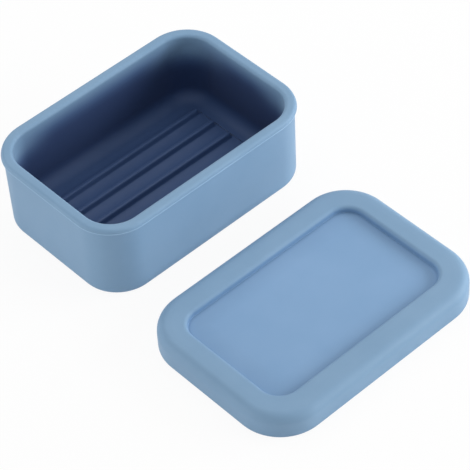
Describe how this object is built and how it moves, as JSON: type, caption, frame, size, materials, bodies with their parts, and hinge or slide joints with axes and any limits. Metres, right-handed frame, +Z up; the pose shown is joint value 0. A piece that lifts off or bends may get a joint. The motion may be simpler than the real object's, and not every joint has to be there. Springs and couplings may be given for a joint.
{
  "type": "travel soap box",
  "caption": "Rounded rectangular travel soap box of soft silicone: a deep open tub with a beaded rim, and a press-on lid with a raised ring and a sunken panel lying in front of it.",
  "frame": {"origin": "middle of the flat face that the tub stands on", "axes": "+X along the tub, +Y across it away from the lid, +Z up out of the tub's mouth"},
  "size_m": [0.1139, 0.1724, 0.037],
  "materials": {
    "silicone": "matte"
  },
  "bodies": {
    "tub": {"tub": "silicone"},
    "lid": {"lid": "silicone"}
  },
  "joints": [
    {"name": "lid_lift", "type": "slide", "parent": "tub", "child": "lid", "axis": [0, 0, 1], "range_m": [0, 0.045]}
  ]
}
